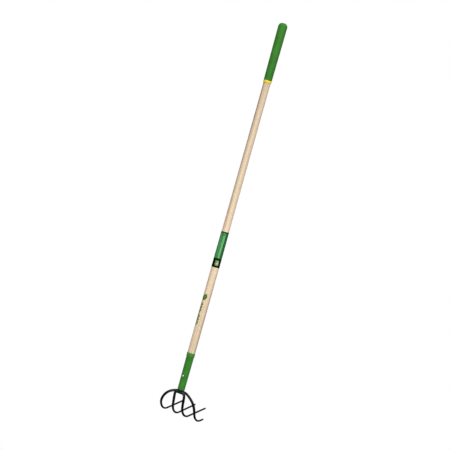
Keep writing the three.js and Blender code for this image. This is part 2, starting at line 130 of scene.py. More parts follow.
class Surface:
    """One procedural material, with short ways to add its nodes. Its coordinates are metres."""

    def __init__(
        self, name, roughness=0.5, metallic=0.0, coat=0.0, coat_roughness=0.1, specular=0.5
    ):
        self.material = bpy.data.materials.new(name)
        self.material.use_nodes = True
        self.tree = self.material.node_tree
        self.shader = self.tree.nodes["Principled BSDF"]
        self.shader.inputs["Roughness"].default_value = roughness
        self.shader.inputs["Metallic"].default_value = metallic
        self.shader.inputs["Coat Weight"].default_value = coat
        self.shader.inputs["Coat Roughness"].default_value = coat_roughness
        self.shader.inputs["Specular IOR Level"].default_value = specular
        self.place = self.tree.nodes.new("ShaderNodeTexCoord").outputs["Object"]

    def fill(self, socket, value):
        if isinstance(value, bpy.types.NodeSocket):
            self.tree.links.new(value, socket)
        else:
            socket.default_value = value

    def maths(self, operation, first, second=0.0):
        node = self.tree.nodes.new("ShaderNodeMath")
        node.operation = operation
        self.fill(node.inputs[0], first)
        self.fill(node.inputs[1], second)
        return node.outputs[0]

    def vector_maths(self, operation, first, second):
        node = self.tree.nodes.new("ShaderNodeVectorMath")
        node.operation = operation
        self.fill(node.inputs[0], first)
        self.fill(node.inputs[1], second)
        return node.outputs["Value"] if operation == "LENGTH" else node.outputs["Vector"]

    def stretched(self, x, y, z):
        return self.vector_maths("MULTIPLY", self.place, (x, y, z))

    def along(self, axis):
        """The place along the axis "X", "Y" or "Z"."""
        node = self.tree.nodes.new("ShaderNodeSeparateXYZ")
        self.fill(node.inputs[0], self.place)
        return node.outputs[axis]

    def height(self):
        return self.along("Z")

    def painted_side_shade(self, side, start, full):
        """Painted shade down one side of the pole, as seen from the view. It sets in from start to
        full.
        """
        along_x = self.maths("MULTIPLY", self.along("X"), side * math.cos(VIEW_AZIMUTH))
        along_y = self.maths("MULTIPLY", self.along("Y"), side * math.sin(VIEW_AZIMUTH))
        out = self.span(self.maths("ADD", along_x, along_y), 1 * MM, 12 * MM, 0, 0.2)
        reach = self.span(self.height(), start, full, 0, 1)
        return self.maths("SUBTRACT", 1.0, self.maths("MULTIPLY", out, reach))

    def noise(self, vector, scale, detail=2.0, roughness=0.5):
        node = self.tree.nodes.new("ShaderNodeTexNoise")
        self.fill(node.inputs["Vector"], vector)
        node.inputs["Scale"].default_value = scale
        node.inputs["Detail"].default_value = detail
        node.inputs["Roughness"].default_value = roughness
        return node.outputs["Fac"]

    def span(self, value, low, high, to_low, to_high):
        node = self.tree.nodes.new("ShaderNodeMapRange")
        self.fill(node.inputs["Value"], value)
        node.inputs["From Min"].default_value = low
        node.inputs["From Max"].default_value = high
        node.inputs["To Min"].default_value = to_low
        node.inputs["To Max"].default_value = to_high
        return node.outputs["Result"]

    def ramp(self, factor, *stops):
        node = self.tree.nodes.new("ShaderNodeValToRGB")
        elements = node.color_ramp.elements
        while len(elements) < len(stops):
            elements.new(0.5)
        for element, (position, colour) in zip(elements, stops):
            element.position = position
            element.color = (*colour, 1)
        self.fill(node.inputs["Fac"], factor)
        return node.outputs["Color"]

    def mix(self, factor, first, second):
        node = self.tree.nodes.new("ShaderNodeMix")
        node.data_type = "RGBA"
        self.fill(node.inputs["Factor"], factor)
        colour_in = [s for s in node.inputs if s.type == "RGBA"]
        self.fill(colour_in[0], first)
        self.fill(colour_in[1], second)
        return [s for s in node.outputs if s.type == "RGBA"][0]

    def shade(self, colour, value):
        """The colour made darker or lighter by a value near 1."""
        node = self.tree.nodes.new("ShaderNodeVectorMath")
        node.operation = "SCALE"
        self.fill(node.inputs[0], colour)
        self.fill(node.inputs["Scale"], value)
        return node.outputs["Vector"]

    def bump(self, height, distance, strength=1.0):
        node = self.tree.nodes.new("ShaderNodeBump")
        node.inputs["Strength"].default_value = strength
        node.inputs["Distance"].default_value = distance
        self.fill(node.inputs["Height"], height)
        self.fill(self.shader.inputs["Normal"], node.outputs["Normal"])

    def colour(self, value):
        self.fill(self.shader.inputs["Base Color"], value)

    def rough(self, value):
        self.fill(self.shader.inputs["Roughness"], value)


def linear(red, green, blue):
    """A colour given as 0 to 255 display values, as the linear light that shaders use."""
    made = []
    for level in (red, green, blue):
        part = level / 255
        made.append(((part + 0.055) / 1.055) ** 2.4 if level > 10 else part / 12.92)
    return tuple(made)


def solid(red, green, blue):
    return (*linear(red, green, blue), 1)


# ---- Materials ----

def wood_material():
    """Clear-lacquered ash: growth rings, long streaks, open pores and slow changes of tone, with
    painted shade on the upper pole and down its sides as seen from the view.
    """
    ring_width = 4.2 * MM
    s = Surface("lacquered_ash", coat=0.15, coat_roughness=0.3, specular=0.3)
    drift_x = s.span(s.noise(s.stretched(2, 2, 1.6), 1.0, 1.0), 0, 1, -0.012, 0.012)
    drift_y = s.span(s.noise(s.stretched(3, 3, 2.3), 1.3, 1.0), 0, 1, -0.012, 0.012)
    pith = s.tree.nodes.new("ShaderNodeCombineXYZ")
    s.fill(pith.inputs["X"], s.maths("ADD", drift_x, 0.045))
    s.fill(pith.inputs["Y"], s.maths("ADD", drift_y, 0.024))
    across = s.vector_maths("MULTIPLY", s.vector_maths("ADD", s.place, pith.outputs[0]), (1, 1, 0))
    rings = s.maths("DIVIDE", s.vector_maths("LENGTH", across, (0, 0, 0)), ring_width)
    wander = s.noise(s.stretched(60, 60, 3), 1.0, 3.0)
    ring = s.maths("FRACT", s.maths("ADD", rings, s.maths("MULTIPLY", wander, 0.9)))
    grain = s.ramp(
        ring,
        (0.0, linear(228, 198, 162)),
        (0.16, linear(238, 212, 178)),
        (0.45, linear(248, 227, 196)),
        (0.85, linear(250, 230, 200)),
        (1.0, linear(236, 208, 172)),
    )
    streaks = s.noise(s.stretched(230, 230, 3), 1.0, 2.0)
    streaked = s.mix(s.span(streaks, 0.5, 0.6, 0, 0.7), grain, solid(216, 182, 144))
    fibres = s.noise(s.stretched(700, 700, 14), 1.0, 4.0, 0.6)
    fibred = s.shade(streaked, s.span(fibres, 0.25, 0.75, 0.97, 1.02))
    pores = s.noise(s.stretched(1500, 1500, 55), 1.0, 2.0)
    pored = s.mix(s.span(pores, 0.66, 0.78, 0, 0.3), fibred, solid(190, 152, 112))
    pink = s.noise(s.stretched(9, 9, 2.2), 1.0, 2.0)
    toned = s.mix(s.span(pink, 0.35, 0.7, 0, 0.35), pored, solid(246, 212, 184))
    tone = s.noise(s.stretched(14, 14, 1.1), 1.0, 2.0)
    # Painted shade: the pole darkens towards its top and is a little lighter low down.
    painted_height_shade = s.span(s.height(), -760 * MM, -200 * MM, 1.05, 0.81)
    shaded = s.shade(toned, s.maths("MULTIPLY", s.span(tone, 0.3, 0.7, 0.98, 1.03), painted_height_shade))
    # Painted shade: the pole's left side darkens high up and its right side low down, across from
    # the view.
    left_painted_shade = s.painted_side_shade(-1, -700 * MM, -480 * MM)
    right_painted_shade = s.painted_side_shade(1, -800 * MM, -1000 * MM)
    s.colour(s.shade(shaded, s.maths("MULTIPLY", left_painted_shade, right_painted_shade)))
    s.rough(s.span(fibres, 0.2, 0.8, 0.36, 0.55))
    relief = s.maths("ADD", s.maths("MULTIPLY", fibres, 0.7), s.maths("MULTIPLY", pores, 0.5))
    s.bump(relief, 0.12 * MM, 0.25)
    return s.material


def grip_material():
    """Soft green vinyl with a fine pebble, slow mottling and scuffs on its domed end."""
    s = Surface("soft_green_vinyl", specular=0.14)
    mottle = s.noise(s.place, 28, 3.0)
    speckle = s.noise(s.place, 650, 2.0)
    base = s.ramp(
        mottle,
        (0.25, linear(49, 115, 34)),
        (0.5, linear(56, 124, 40)),
        (0.75, linear(64, 131, 48)),
    )
    speckled = s.shade(base, s.span(speckle, 0.3, 0.7, 0.94, 1.06))
    end = s.span(s.height(), GRIP_HIGH.z - 22 * MM, GRIP_HIGH.z, 0, 1)
    scuffs = s.span(s.noise(s.stretched(260, 90, 160), 1.0, 5.0, 0.7), 0.56, 0.68, 0, 0.5)
    s.colour(s.mix(s.maths("MULTIPLY", scuffs, end), speckled, solid(108, 160, 92)))
    s.rough(s.span(mottle, 0.3, 0.7, 0.5, 0.66))
    s.bump(s.maths("ADD", speckle, s.maths("MULTIPLY", mottle, 0.4)), 0.14 * MM, 0.6)
    return s.material


def ring_material():
    s = Surface("yellow_plastic", roughness=0.4, specular=0.25)
    cloud = s.noise(s.place, 120, 3.0)
    marks = s.noise(s.stretched(300, 300, 1800), 1.0, 3.0)
    base = s.ramp(cloud, (0.3, linear(250, 212, 34)), (0.7, linear(255, 228, 62)))
    s.colour(s.shade(base, s.span(marks, 0.3, 0.7, 0.94, 1.03)))
    s.rough(s.span(cloud, 0.3, 0.7, 0.34, 0.5))
    s.bump(marks, 0.05 * MM, 0.4)
    return s.material


def film_material(name, low, high, roughness=0.35, specular=0.22):
    """Printed film: ink that varies between two near colours, over faint creases along the pole."""
    s = Surface(name, specular=specular)
    ink = s.noise(s.stretched(220, 220, 60), 1.0, 4.0)
    crease = s.noise(s.stretched(90, 90, 18), 1.0, 3.0)
    base = s.mix(s.span(ink, 0.3, 0.7, 0, 1), solid(*low), solid(*high))
    s.colour(s.shade(base, s.span(crease, 0.3, 0.7, 0.93, 1.06)))
    s.rough(s.span(crease, 0.3, 0.7, roughness - 0.06, roughness + 0.12))
    s.bump(crease, 0.12 * MM, 0.4)
    return s.material


def enamel_material():
    """Green enamel with a painted highlight that lightens the ferrule's rim, fine scratches, and
    chips on the lip that also paint its shade.
    """
    s = Surface("green_enamel", coat=0.12, coat_roughness=0.15, specular=0.2)
    cloud = s.noise(s.place, 45, 3.0)
    base = s.ramp(
        cloud,
        (0.3, linear(48, 126, 34)),
        (0.5, linear(55, 135, 40)),
        (0.72, linear(64, 144, 48)),
    )
    rim_bottom = FERRULE_HIGH.z - RIM_HEIGHT
    # Painted highlight: the rim and the step below it are mixed towards a lighter green.
    rim = s.span(s.height(), rim_bottom - RIM_STEP, rim_bottom, 0, 0.35)
    rim_highlighted = s.mix(rim, base, solid(92, 152, 58))
    scratch = s.span(s.noise(s.stretched(900, 900, 70), 1.0, 3.0), 0.68, 0.74, 0, 0.3)
    scratched = s.mix(scratch, rim_highlighted, solid(104, 160, 84))
    # Grey chips on the lip, which also paint the shade along the lip's edge.
    lip_chips_and_shade = s.span(s.noise(s.place, 420, 4.0, 0.6), 0.70, 0.72, 0, 1)
    lip = s.span(s.height(), FERRULE_HIGH.z - LIP_HEIGHT, FERRULE_HIGH.z - 0.4 * MM, 0, 1)
    s.colour(s.mix(s.maths("MULTIPLY", lip_chips_and_shade, lip), scratched, solid(70, 74, 70)))
    s.rough(s.span(cloud, 0.3, 0.7, 0.26, 0.42))
    s.bump(s.noise(s.place, 260, 2.0), 0.12 * MM, 0.5)
    return s.material


def black_material():
    """Black enamel on forged rod: orange peel, a painted grey highlight on the crown and round the
    welds, rubbed on the points.
    """
    s = Surface("black_enamel", specular=0.12)
    cloud = s.noise(s.place, 60, 3.0)
    peel = s.noise(s.place, 420, 2.0)
    base = s.ramp(cloud, (0.3, linear(2, 2, 3)), (0.7, linear(5, 5, 6)))
    reach = s.span(s.along("Y"), BOW_HIGH.y - 30 * MM, BOW_HIGH.y, 0, 1)
    rubbed = s.span(s.noise(s.stretched(500, 120, 500), 1.0, 4.0, 0.65), 0.54, 0.66, 0, 0.55)
    crown = s.span(s.height(), CROWN_Z - 24 * MM, CROWN_Z - 2 * MM, 0, 1)
    # Painted highlight: the crown and welds are mixed towards grey in patches, where light from
    # above falls.
    crown_painted_highlight = s.maths("MULTIPLY", crown, s.span(s.noise(s.place, 95, 4.0), 0.42, 0.62, 0.15, 1))
    crown_highlighted = s.mix(crown_painted_highlight, base, solid(66, 66, 66))
    s.colour(s.mix(s.maths("MULTIPLY", reach, rubbed), crown_highlighted, solid(74, 74, 76)))
    s.rough(s.span(cloud, 0.3, 0.7, 0.24, 0.42))
    s.bump(s.maths("ADD", peel, s.maths("MULTIPLY", cloud, 0.5)), 0.16 * MM, 0.5)
    return s.material


def steel_material():
    s = Surface("bright_rivet_steel", metallic=0.85, roughness=0.3)
    cloud = s.noise(s.place, 500, 3.0)
    brushed = s.noise(s.stretched(2600, 300, 400), 1.0, 3.0)
    base = s.ramp(cloud, (0.3, linear(196, 206, 194)), (0.7, linear(232, 238, 230)))
    s.colour(s.shade(base, s.span(brushed, 0.3, 0.7, 0.9, 1.04)))
    s.rough(s.span(cloud, 0.3, 0.7, 0.22, 0.4))
    s.bump(brushed, 0.05 * MM, 0.4)
    return s.material


# ---- Meshes ----

def add_piece(name, shape, material, slot, *nodes):
    """Makes one smooth closed piece that rides on the tool and stands for CAD nodes."""
    vertices, faces = shape
    mesh = bpy.data.meshes.new(name)
    mesh.from_pydata(vertices, [], faces)
    work = bmesh.new()
    work.from_mesh(mesh)
    bmesh.ops.recalc_face_normals(work, faces=work.faces)
    for face in work.faces:
        face.smooth = True
    work.to_mesh(mesh)
    work.free()
    mesh.materials.append(material)
    piece = bpy.data.objects.new(name, mesh)
    bpy.context.scene.collection.objects.link(piece)
    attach(piece, "root")
    if nodes:
        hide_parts(*nodes)
    return piece


def add_film(name, shape, ink, slot, *nodes):
    """Makes one piece of thin film or print, flat up to its square edges."""
    sharp_angle = math.radians(50)
    piece = add_piece(name, shape, ink, slot, *nodes)
    piece.data.set_sharp_from_angle(angle=sharp_angle)


def rounded(profile, radius, closed=False, steps=5):
    """Rounds each corner of a (radius, height) profile."""
    count = len(profile)
    made = []
    for i, corner in enumerate(profile):
        if not closed and i in (0, count - 1):
            made.append(corner)
            continue
        here = Vector(corner)
        before = Vector(profile[i - 1])
        after = Vector(profile[(i + 1) % count])
        reach = min(radius, (before - here).length * 0.45, (after - here).length * 0.45)
        start = here + (before - here).normalized() * reach
        end = here + (after - here).normalized() * reach
        for step in range(steps + 1):
            t = step / steps
            made.append(tuple(start * (1 - t) ** 2 + here * 2 * t * (1 - t) + end * t * t))
    return made


def stepped(profile, longest, closed=False):
    """Divides the long straight stretches of a profile, so that its shading stays local."""
    made = [profile[0]]
    ends = profile[1:] + profile[:1] if closed else profile[1:]
    for end in ends:
        start = Vector(made[-1])
        gap = Vector(end) - start
        parts = max(1, math.ceil(gap.length / longest))
        made += [tuple(start + gap * (part / parts)) for part in range(1, parts + 1)]
    return made[:-1] if closed else made


def turned(profile, segments=96, closed=False):
    """Turns a (radius, height) profile round Z. An open profile starts and ends on the axis."""
    vertices, faces, rings = [], [], []
    for radius, height in profile:
        if radius < 1e-7:
            rings.append([len(vertices)] * segments)
            vertices.append((0, 0, height))
            continue
        rings.append(list(range(len(vertices), len(vertices) + segments)))
        for k in range(segments):
            angle = 2 * math.pi * k / segments
            vertices.append((radius * math.cos(angle), radius * math.sin(angle), height))
    pairs = list(zip(rings, rings[1:] + rings[:1])) if closed else list(zip(rings, rings[1:]))
    for low, high in pairs:
        for k in range(segments):
            corners = [low[k], low[(k + 1) % segments], high[(k + 1) % segments], high[k]]
            face = list(dict.fromkeys(corners))
            if len(face) > 2:
                faces.append(face)
    return vertices, faces


def even(points, spacing):
    """The same path with points an equal distance apart."""
    lengths = [0.0]
    for a, b in zip(points, points[1:]):
        lengths.append(lengths[-1] + (b - a).length)
    count = max(2, round(lengths[-1] / spacing))
    made, i = [], 0
    for step in range(count + 1):
        goal = lengths[-1] * step / count
        while i < len(lengths) - 2 and lengths[i + 1] < goal:
            i += 1
        part = (goal - lengths[i]) / max(1e-9, lengths[i + 1] - lengths[i])
        made.append(points[i].lerp(points[i + 1], min(1, part)))
    return made


def eased(points, passes):
    """Smooths the path and leaves its ends in place."""
    for _ in range(passes):
        inner = [(a + b * 2 + c) / 4 for a, b, c in zip(points, points[1:], points[2:])]
        points = [points[0], *inner, points[-1]]
    return points


def swept(points, radii, sides=28):
    """A round rod along the points, closed to a point at each end."""
    vertices, faces, rings = [], [], []
    last = len(points) - 1
    normal = None
    for i, point in enumerate(points):
        tangent = (points[min(i + 1, last)] - points[max(i - 1, 0)]).normalized()
        normal = tangent.orthogonal() if normal is None else normal - tangent * normal.dot(tangent)
        normal.normalize()
        side = tangent.cross(normal)
        if i in (0, last):
            rings.append([len(vertices)] * sides)
            vertices.append(tuple(point))
            continue
        rings.append(list(range(len(vertices), len(vertices) + sides)))
        for k in range(sides):
            angle = 2 * math.pi * k / sides
            out = normal * math.cos(angle) + side * math.sin(angle)
            vertices.append(tuple(point + out * radii[i]))
    for low, high in zip(rings, rings[1:]):
        for k in range(sides):
            corners = [low[k], low[(k + 1) % sides], high[(k + 1) % sides], high[k]]
            face = list(dict.fromkeys(corners))
            if len(face) > 2:
                faces.append(face)
    return vertices, faces


# ---- Prints wrapped round the pole ----

def on_pole(azimuth, radius, height):
    """A point on the pole. Azimuth 0 faces -Y and grows towards +X."""
    return (radius * math.sin(azimuth), -radius * math.cos(azimuth), height)


def printed(outline, azimuth, height, radius_at, lift=PRINT_LIFT, rings=7):
    """A thin raised print on the pole. The outline is points (across, up) round its own centre."""
    count = len(outline)
    vertices, faces = [], []
    for level in (lift, -0.5 * lift):
        start = len(vertices)
        vertices.append(on_pole(azimuth, radius_at(height) + level, height))
        for ring in range(1, rings + 1):
            for across, up in outline:
                z = height + up * ring / rings
                radius = radius_at(z)
                turn = azimuth + across * ring / rings / radius
                vertices.append(on_pole(turn, radius + level, z))
        for k in range(count):
            after = (k + 1) % count
            faces.append([start, start + 1 + k, start + 1 + after])
            for ring in range(1, rings):
                low = start + 1 + (ring - 1) * count
                faces.append([low + k, low + count + k, low + count + after, low + after])
    depth = 1 + rings * count
    edge = 1 + (rings - 1) * count
    for k in range(count):
        after = (k + 1) % count
        faces.append([edge + k, edge + after, edge + after + depth, edge + k + depth])
    return vertices, faces


def box_outline(width, height, power=6, count=48):
    """A rectangle with rounded corners."""
    points = []
    for k in range(count):
        angle = 2 * math.pi * k / count
        c, s = math.cos(angle), math.sin(angle)
        across = math.copysign(abs(c) ** (2 / power), c) * width / 2
        up = math.copysign(abs(s) ** (2 / power), s) * height / 2
        points.append((across, up))
    return points


def evenly(outline, spacing):
    """The same outline with points an equal distance apart."""
    closed = [Vector(point) for point in outline + outline[:1]]
    return [tuple(point) for point in even(closed, spacing)[:-1]]


def leaf_outline(length, width, lean, side=0, gap=0.0, count=24):
    """A pointed leaf, or with side -1 or +1 the half of it on that side of its vein."""
    points = []
    sides = (side,) if side else (1, -1)
    for way in sides:
        for k in range(count):
            t = k / count if way == sides[0] else 1 - k / count
            belly = width / 2 * math.sin(math.pi * t) ** 0.8
            points.append((way * max(gap, belly), (t - 0.5) * length))
    if side:
        points.append((side * gap, 0.5 * length))
        points += [(side * gap, (0.5 - k / 8) * length) for k in range(1, 8)]
    turn = Matrix.Rotation(-lean, 2)
    return [tuple(turn @ Vector(point)) for point in points]


def centred(outline):
    """An outline moved to its own middle, and how far it was moved."""
    middle = sum((Vector(point) for point in outline), Vector((0, 0))) / len(outline)
    return [tuple(Vector(point) - middle) for point in outline], middle


# ---- Pieces ----

def pole_radius(z):
    """The bare pole's radius at a height."""
    stops = [
        (FERRULE_HIGH.z, POLE_MOUTH_RADIUS),
        (POLE_LOWER_END, POLE_LOWER_RADIUS),
        (LABEL_LOW.z, POLE_LABEL_BOTTOM_RADIUS),
        (LABEL_HIGH.z, POLE_LABEL_TOP_RADIUS),
        (POLE_UPPER_END, POLE_UPPER_RADIUS),
        (GRIP_LOW.z, POLE_UPPER_RADIUS),
    ]
    for (low, start), (high, end) in zip(stops, stops[1:]):
        if z <= high:
            part = max(0.0, (z - low) / (high - low))
            return start + (end - start) * part
    return POLE_UPPER_RADIUS


def label_radius(z):
    """The CAD label sleeve's outer radius at a height."""
    above_wood = LABEL_HIGH.x - POLE_LABEL_BOTTOM_RADIUS
    return pole_radius(z) + above_wood


def film_radius(z):
    """The label film's outer radius. It leaves room in the CAD sleeve for the film's overlap."""
    return label_radius(z) - 0.28 * MM


def patch_radius(z):
    """The radius of the patch on the label, which carries the spot."""
    return film_radius(z) + PRINT_LIFT


def make_handle(wood):
    edge = 1.5 * MM
    shoulder = FERRULE_HIGH.z - RIM_HEIGHT
    outside = [
        (0, HANDLE_LOW.z),
        (TENON_RADIUS - edge, HANDLE_LOW.z),
        (TENON_RADIUS, HANDLE_LOW.z + edge),
        (TENON_RADIUS, shoulder - MOUTH_STEP),
        (POLE_MOUTH_RADIUS, shoulder),
        (pole_radius(FERRULE_HIGH.z), FERRULE_HIGH.z),
        (pole_radius(POLE_LOWER_END), POLE_LOWER_END),
        (pole_radius(LABEL_LOW.z), LABEL_LOW.z),
        (pole_radius(LABEL_HIGH.z), LABEL_HIGH.z),
        (pole_radius(POLE_UPPER_END), POLE_UPPER_END),
        (POLE_UPPER_RADIUS, GRIP_LOW.z),
        (POLE_TOP_RADIUS, GRIP_LOW.z + edge),
        (POLE_TOP_RADIUS, HANDLE_HIGH.z - edge),
        (POLE_TOP_RADIUS - edge, HANDLE_HIGH.z),
        (0, HANDLE_HIGH.z),
    ]
    add_piece("pole", turned(stepped(outside, 12 * MM)), wood, "wood", "handle")


def make_grip(vinyl):
    dome_height = 15 * MM
    flat = 5.5 * MM
    top_radius = GRIP_HIGH.x
    foot_radius = 15.5 * MM
    inside = POLE_TOP_RADIUS + FIT
    mouth = POLE_UPPER_RADIUS + FIT
    bore_end = HANDLE_HIGH.z + 0.2 * MM
    base = GRIP_HIGH.z - dome_height
    dome = []
    steps = 20
    for step in range(steps + 1):
        angle = step / steps * math.pi / 2
        reach = (top_radius - flat) * math.cos(angle)
        dome.append((flat + reach, base + dome_height * math.sin(angle)))
    foot = rounded(
        [
            (0, bore_end),
            (inside, bore_end),
            (inside, GRIP_LOW.z + 2 * MM),
            (mouth, GRIP_LOW.z + 0.4 * MM),
            (mouth, GRIP_LOW.z),
            (foot_radius, GRIP_LOW.z),
            (foot_radius + 0.03 * MM, GRIP_LOW.z + 4 * MM),
        ],
        0.9 * MM,
    )
    profile = foot + dome + [(0, GRIP_HIGH.z)]
    add_piece("cushion_grip", turned(stepped(profile, 6 * MM)), vinyl, "soft_grip", "grip")


def make_ring(plastic):
    """A collar with one groove near its top."""
    inside = POLE_UPPER_RADIUS + FIT
    outside = RING_HIGH.x
    groove_z = RING_HIGH.z - 1.7 * MM
    groove_half = 0.5 * MM
    groove_depth = 0.35 * MM
    loop = [
        (inside, RING_LOW.z),
        (outside - 0.9 * MM, RING_LOW.z),
        (outside, RING_LOW.z + 1.6 * MM),
        (outside, groove_z - groove_half),
        (outside - groove_depth, groove_z),
        (outside, groove_z + groove_half),
        (outside, RING_HIGH.z),
        (inside, RING_HIGH.z),
    ]
    profile = stepped(rounded(loop, 0.5 * MM, closed=True), 2 * MM, closed=True)
    add_piece("yellow_collar", turned(profile, closed=True), plastic, "ring_plastic", "grip_ring")


def make_wrap(name, low, high, ink, *nodes):
    """A length of the label film. Its ends overlap down the back of the pole."""
    overlap = math.radians(40)
    step_up = 0.25  # radians over which the top layer climbs onto the one below
    climb = 1.1 * FILM_THICKNESS
    start = math.radians(180) + VIEW_AZIMUTH
    steps_round = 150
    steps_up = max(2, round((high - low) / (6 * MM)))
    vertices, faces = [], []
    for side in (-FILM_THICKNESS, 0.0):
        for j in range(steps_up + 1):
            z = low + (high - low) * j / steps_up
            for i in range(steps_round + 1):
                turn = (2 * math.pi + overlap) * i / steps_round
                over = min(1, max(0, (turn - (2 * math.pi - step_up)) / step_up))
                lift = climb * over * over * (3 - 2 * over)
                vertices.append(on_pole(start + turn, film_radius(z) + side + lift, z))
    row = steps_round + 1
    layer = row * (steps_up + 1)
    for j in range(steps_up):
        for i in range(steps_round):
            a = j * row + i
            faces.append([a, a + 1, a + row + 1, a + row])
            faces.append([a + layer, a + layer + row, a + layer + row + 1, a + layer + 1])
    rim = [*range(row), *range(2 * row - 1, layer, row)]
    rim += [*range(layer - 2, layer - row - 1, -1), *range(layer - 2 * row, 0, -row)]
    for a, b in zip(rim, rim[1:] + rim[:1]):
        faces.append([a, b, b + layer, a + layer])
    add_film(name, (vertices, faces), ink, "label_film", *nodes)


def make_label(film, prints_and_painted_highlights):
    """A green wrap with a dark top border, a black band, a plain patch, and bands of painted light
    and highlight facing the view.
    """
    band_top = LABEL_LOW.z + BAND_HEIGHT
    green_top = LABEL_HIGH.z - BORDER_HEIGHT
    make_wrap("label_film", band_top, green_top, film, "label_sleeve")
    make_wrap("label_band", LABEL_LOW.z, band_top, prints_and_painted_highlights["black"])
    make_wrap("label_top_border", green_top, LABEL_HIGH.z, prints_and_painted_highlights["dark_green"])

    middle = LABEL_LOW.z + BAND_HEIGHT / 2
    patch = evenly(box_outline(14 * MM, 20 * MM, count=400), 1 * MM)
    shape = printed(patch, VIEW_AZIMUTH + math.radians(4), middle, film_radius)
    add_film("label_patch", shape, prints_and_painted_highlights["patch"], "label_film")
    spot = box_outline(6.5 * MM, 9 * MM, power=2)
    shape = printed(spot, VIEW_AZIMUTH + math.radians(11), middle - 1.5 * MM, patch_radius)
    add_film("label_spot", shape, prints_and_painted_highlights["spot"], "label_film")

    # Painted light: five mid-green bands stand for the lit side and four light green ones for the
    # highlight down the middle.
    mid_count = 5
    light_count = 4
    for k in range(mid_count):
        make_highlight_band(k, -58 + 10.4 * k, 2.4 * MM, band_top, green_top, prints_and_painted_highlights["painted_lit_colour"])
    for k in range(light_count):
        number = mid_count + k
        make_highlight_band(number, -5 + 7.4 * k, 1.5 * MM, band_top, green_top, prints_and_painted_highlights["painted_highlight_colour"])


def make_highlight_band(number, turn, width, low, high, ink):
    """A band of painted highlight between two heights, turn degrees from the view. Each one has its
    own length.
    """
    room = high - low
    length = room * (0.93 - 0.07 * math.cos(2.1 * number))
    middle = (low + high) / 2 + (room - length) * 0.4 * math.sin(1.7 * number)
    outline = box_outline(width, length, power=8)
    shape = printed(outline, VIEW_AZIMUTH + math.radians(turn), middle, film_radius)
    add_film(f"label_highlight_band_{number + 1}", shape, ink, "label_film")


def make_mark(prints_and_painted_highlights):
    """A plain leaf and a sprig of small leaves, printed on the wood."""
    leaf_z = -943 * MM
    leaf_azimuth = VIEW_AZIMUTH - math.radians(33)
    leaf_lean = math.radians(24)
    vein = 0.5 * MM
    for side, word in ((-1, "left"), (1, "right")):
        outline, shift = centred(leaf_outline(30 * MM, 17.5 * MM, leaf_lean, side, vein))
        turn = leaf_azimuth + shift.x / POLE_LOWER_RADIUS
        shape = printed(outline, turn, leaf_z + shift.y, pole_radius)
        add_film(f"mark_leaf_{word}", shape, prints_and_painted_highlights["leaf"], "wood")

    sprig_azimuth = VIEW_AZIMUTH - math.radians(49)
    sprigs = ((-963 * MM, -1002 * MM), (-1008 * MM, -1051 * MM))  # top and bottom of each
    leaves = 7
    leaf_lift = PRINT_LIFT * 0.9  # just under the stem's
    for number, (top, bottom) in enumerate(sprigs, 1):
        stem = box_outline(3 * MM, top - bottom, power=8)
        shape = printed(stem, sprig_azimuth, (top + bottom) / 2, pole_radius)
        add_film(f"mark_stem_{number}", shape, prints_and_painted_highlights["sprig"], "wood")
        for k in range(leaves):
            side = 1 if k % 2 else -1
            z = bottom + (top - bottom) * (k + 0.6) / leaves
            outline = leaf_outline(10.5 * MM, 5.8 * MM, side * math.radians(38))
            shift = side * 2.3 * MM / POLE_LOWER_RADIUS
            shape = printed(outline, sprig_azimuth + shift, z, pole_radius, leaf_lift)
            add_film(f"mark_leaflet_{number}_{k + 1}", shape, prints_and_painted_highlights["sprig"], "wood")


def make_ferrule(enamel):
    rim_bottom = FERRULE_HIGH.z - RIM_HEIGHT
    lip_radius = FERRULE_HIGH.x
    rim_radius = lip_radius - 0.15 * MM
    inside = POLE_MOUTH_RADIUS + 0.15 * MM
    loop = [
        (TANG_NECK_RADIUS + FIT, FERRULE_LOW.z),
        (FERRULE_FOOT_RADIUS, FERRULE_LOW.z),
        (NECK_RADIUS, rim_bottom - RIM_STEP),
        (rim_radius, rim_bottom),
        (rim_radius, FERRULE_HIGH.z - 1.5 * LIP_HEIGHT),
        (lip_radius, FERRULE_HIGH.z - LIP_HEIGHT),
        (lip_radius, FERRULE_HIGH.z),
        (inside, FERRULE_HIGH.z),
        (inside, rim_bottom),
        (TENON_RADIUS + 2 * FIT, rim_bottom - MOUTH_STEP),
        (TENON_RADIUS + FIT, FERRULE_LOW.z + FERRULE_WALL),
        (TANG_NECK_RADIUS + FIT, FERRULE_LOW.z + FERRULE_WALL),
    ]
    profile = stepped(rounded(loop, 0.7 * MM, closed=True), 4 * MM, closed=True)
    add_piece("ferrule_shell", turned(profile, closed=True), enamel, "green_paint", "ferrule")


def make_rivet(steel):
    """A rivet along Y, with the same domed head at both ends."""
    middle = (RIVET_LOW.z + RIVET_HIGH.z) / 2
    head_radius = RIVET_HIGH.x
    shank_radius = 2.4 * MM
    tip = RIVET_HIGH.y
    seat = tip - 2.6 * MM
    dome = seat + 0.4 * MM
    half = [
        (shank_radius, 0),
        (shank_radius, seat),
        (head_radius * 0.96, seat),
        (head_radius, seat + 0.35 * MM),
    ]
    steps = 10
    for step in range(1, steps):
        angle = step / steps * math.pi / 2
        half.append((head_radius * math.cos(angle), dome + (tip - dome) * math.sin(angle)))
    half.append((0, tip))
    whole = [(radius, -along) for radius, along in reversed(half[1:])] + half
    vertices, faces = turned(whole, 48)
    placed = [(x, z, middle + y) for x, y, z in vertices]
    add_piece("cross_rivet", (placed, faces), steel, "bright_steel", "ferrule_rivet")


# ---- Tine bows ----

